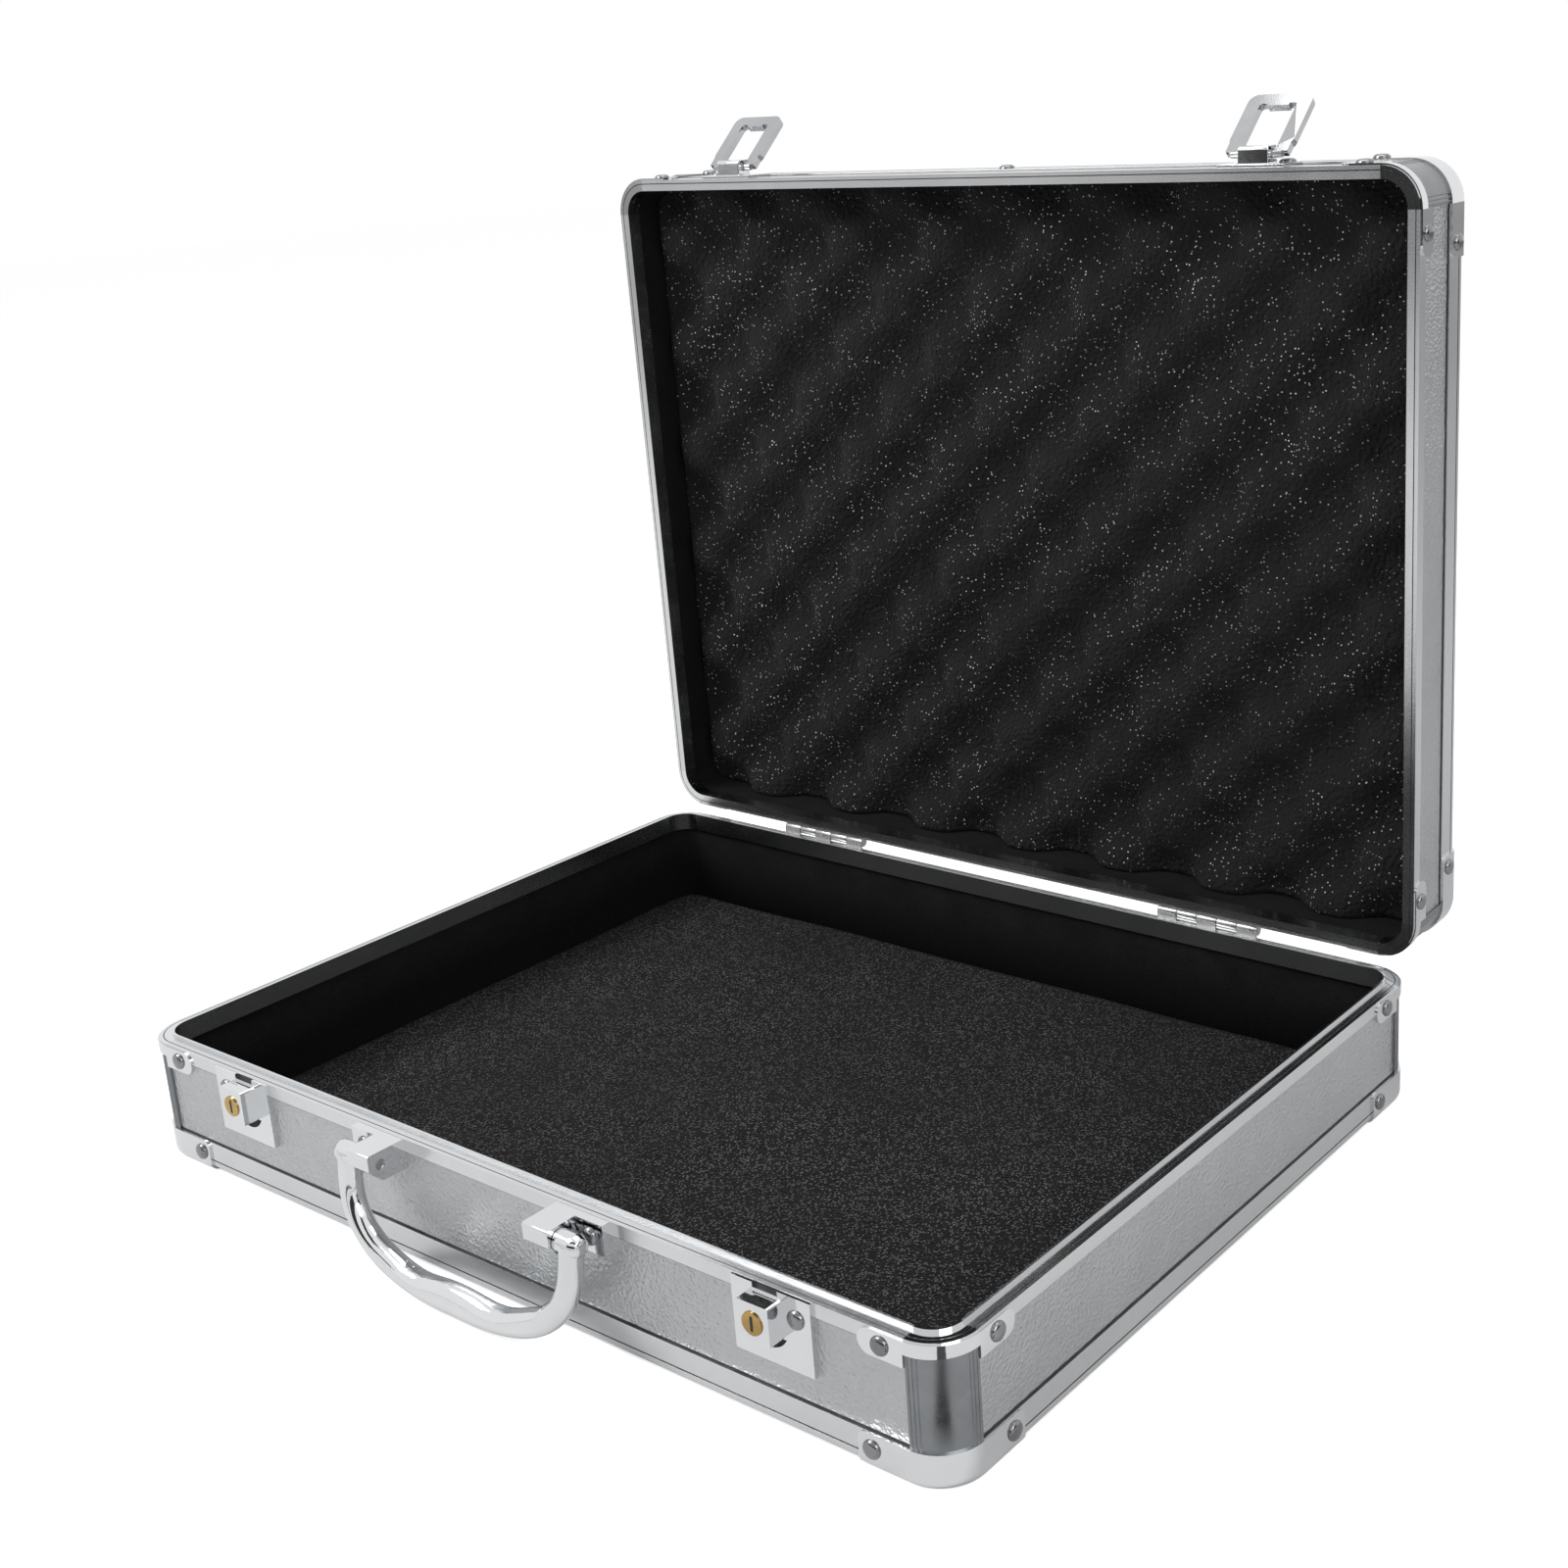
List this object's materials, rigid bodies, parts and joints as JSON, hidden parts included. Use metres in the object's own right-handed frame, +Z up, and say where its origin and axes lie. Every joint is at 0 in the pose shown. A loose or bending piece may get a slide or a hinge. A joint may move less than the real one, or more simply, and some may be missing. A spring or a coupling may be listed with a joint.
{
  "type": "aluminum tool case",
  "caption": "Open aluminum tool case with hinged foam-lined lid, felt-lined base, two key locks with hasp loops, chrome corners and a bail handle.",
  "frame": {"origin": "middle of the open case's footprint, on the surface it stands on", "axes": "+X along the front to the right hand of someone facing it, +Y from the handle towards the hinges, +Z up"},
  "size_m": [0.4044, 0.3634, 0.3839],
  "materials": {
    "skin_aluminium": "finely pebbled satin",
    "satin_aluminium": "satin extruded",
    "post_aluminium": "satin",
    "chrome": "polished",
    "steel": "plated",
    "brass": "machined",
    "black_felt": "short felt",
    "speckled_pad": "grey flecked felt",
    "black_foam": "open-cell foam"
  },
  "bodies": {
    "base": {"base_corner_caps": "chrome", "base_corner_posts": "post_aluminium", "base_corner_rivets": "chrome", "base_edge_extrusions": "satin_aluminium", "base_end_panel": "skin_aluminium", "base_felt_lining": "black_felt", "base_floor_pad": "speckled_pad", "base_front_panel": "skin_aluminium", "base_left_panel": "skin_aluminium", "base_rear_panel": "skin_aluminium", "base_right_panel": "skin_aluminium", "base_rim_corners": "chrome", "base_rim_extrusions": "satin_aluminium", "handle_pins": "steel", "handle_rivets": "chrome", "hinge_base_rivets": "chrome", "left_handle_bracket": "chrome", "left_hinge_base_leaf": "steel", "left_hinge_pin": "steel", "left_lock_plate": "chrome", "lock_rivets": "chrome", "right_handle_bracket": "chrome", "right_hinge_base_leaf": "steel", "right_hinge_pin": "steel", "right_lock_plate": "chrome"},
    "lid": {"egg_crate_foam": "black_foam", "hasp_rivets": "chrome", "hinge_lid_rivets": "chrome", "left_hasp_plate": "chrome", "left_hinge_lid_leaf": "steel", "lid_corner_caps": "chrome", "lid_corner_posts": "post_aluminium", "lid_corner_rivets": "chrome", "lid_edge_extrusions": "satin_aluminium", "lid_end_panel": "skin_aluminium", "lid_felt_lining": "black_felt", "lid_front_panel": "skin_aluminium", "lid_joint_rivets": "chrome", "lid_left_panel": "skin_aluminium", "lid_rear_panel": "skin_aluminium", "lid_right_panel": "skin_aluminium", "lid_rim_corners": "chrome", "lid_rim_extrusions": "satin_aluminium", "right_hasp_plate": "chrome", "right_hinge_lid_leaf": "steel"},
    "left_hasp": {"left_hasp_loop": "chrome"},
    "right_hasp": {"right_hasp_loop": "chrome"},
    "handle": {"handle": "chrome"},
    "left_key": {"left_key_cylinder": "brass", "left_lock_cam": "steel"},
    "right_key": {"right_key_cylinder": "brass", "right_lock_cam": "steel"}
  },
  "joints": [
    {"name": "lid_swing", "type": "hinge", "parent": "base", "child": "lid", "pos_m": [0, 0.14439, 0.05235], "axis": [1, 0, 0], "range_deg": [0, 89.3]},
    {"name": "left_hasp_swing", "type": "hinge", "parent": "lid", "child": "left_hasp", "pos_m": [-0.132, 0.14464, 0.36323], "axis": [1, 0, 0], "range_deg": [0, 138]},
    {"name": "right_hasp_swing", "type": "hinge", "parent": "lid", "child": "right_hasp", "pos_m": [0.132, 0.14464, 0.36323], "axis": [1, 0, 0], "range_deg": [0, 138]},
    {"name": "handle_swing", "type": "hinge", "parent": "base", "child": "handle", "pos_m": [0, -0.17246, 0.0448], "axis": [-1, 0, 0], "range_deg": [0, 100]},
    {"name": "left_key_turn", "type": "hinge", "parent": "base", "child": "left_key", "pos_m": [-0.132, -0.16496, 0.0406], "axis": [0, -1, 0], "range_deg": [0, 90]},
    {"name": "right_key_turn", "type": "hinge", "parent": "base", "child": "right_key", "pos_m": [0.132, -0.16496, 0.0406], "axis": [0, 1, 0], "range_deg": [0, 90]}
  ]
}
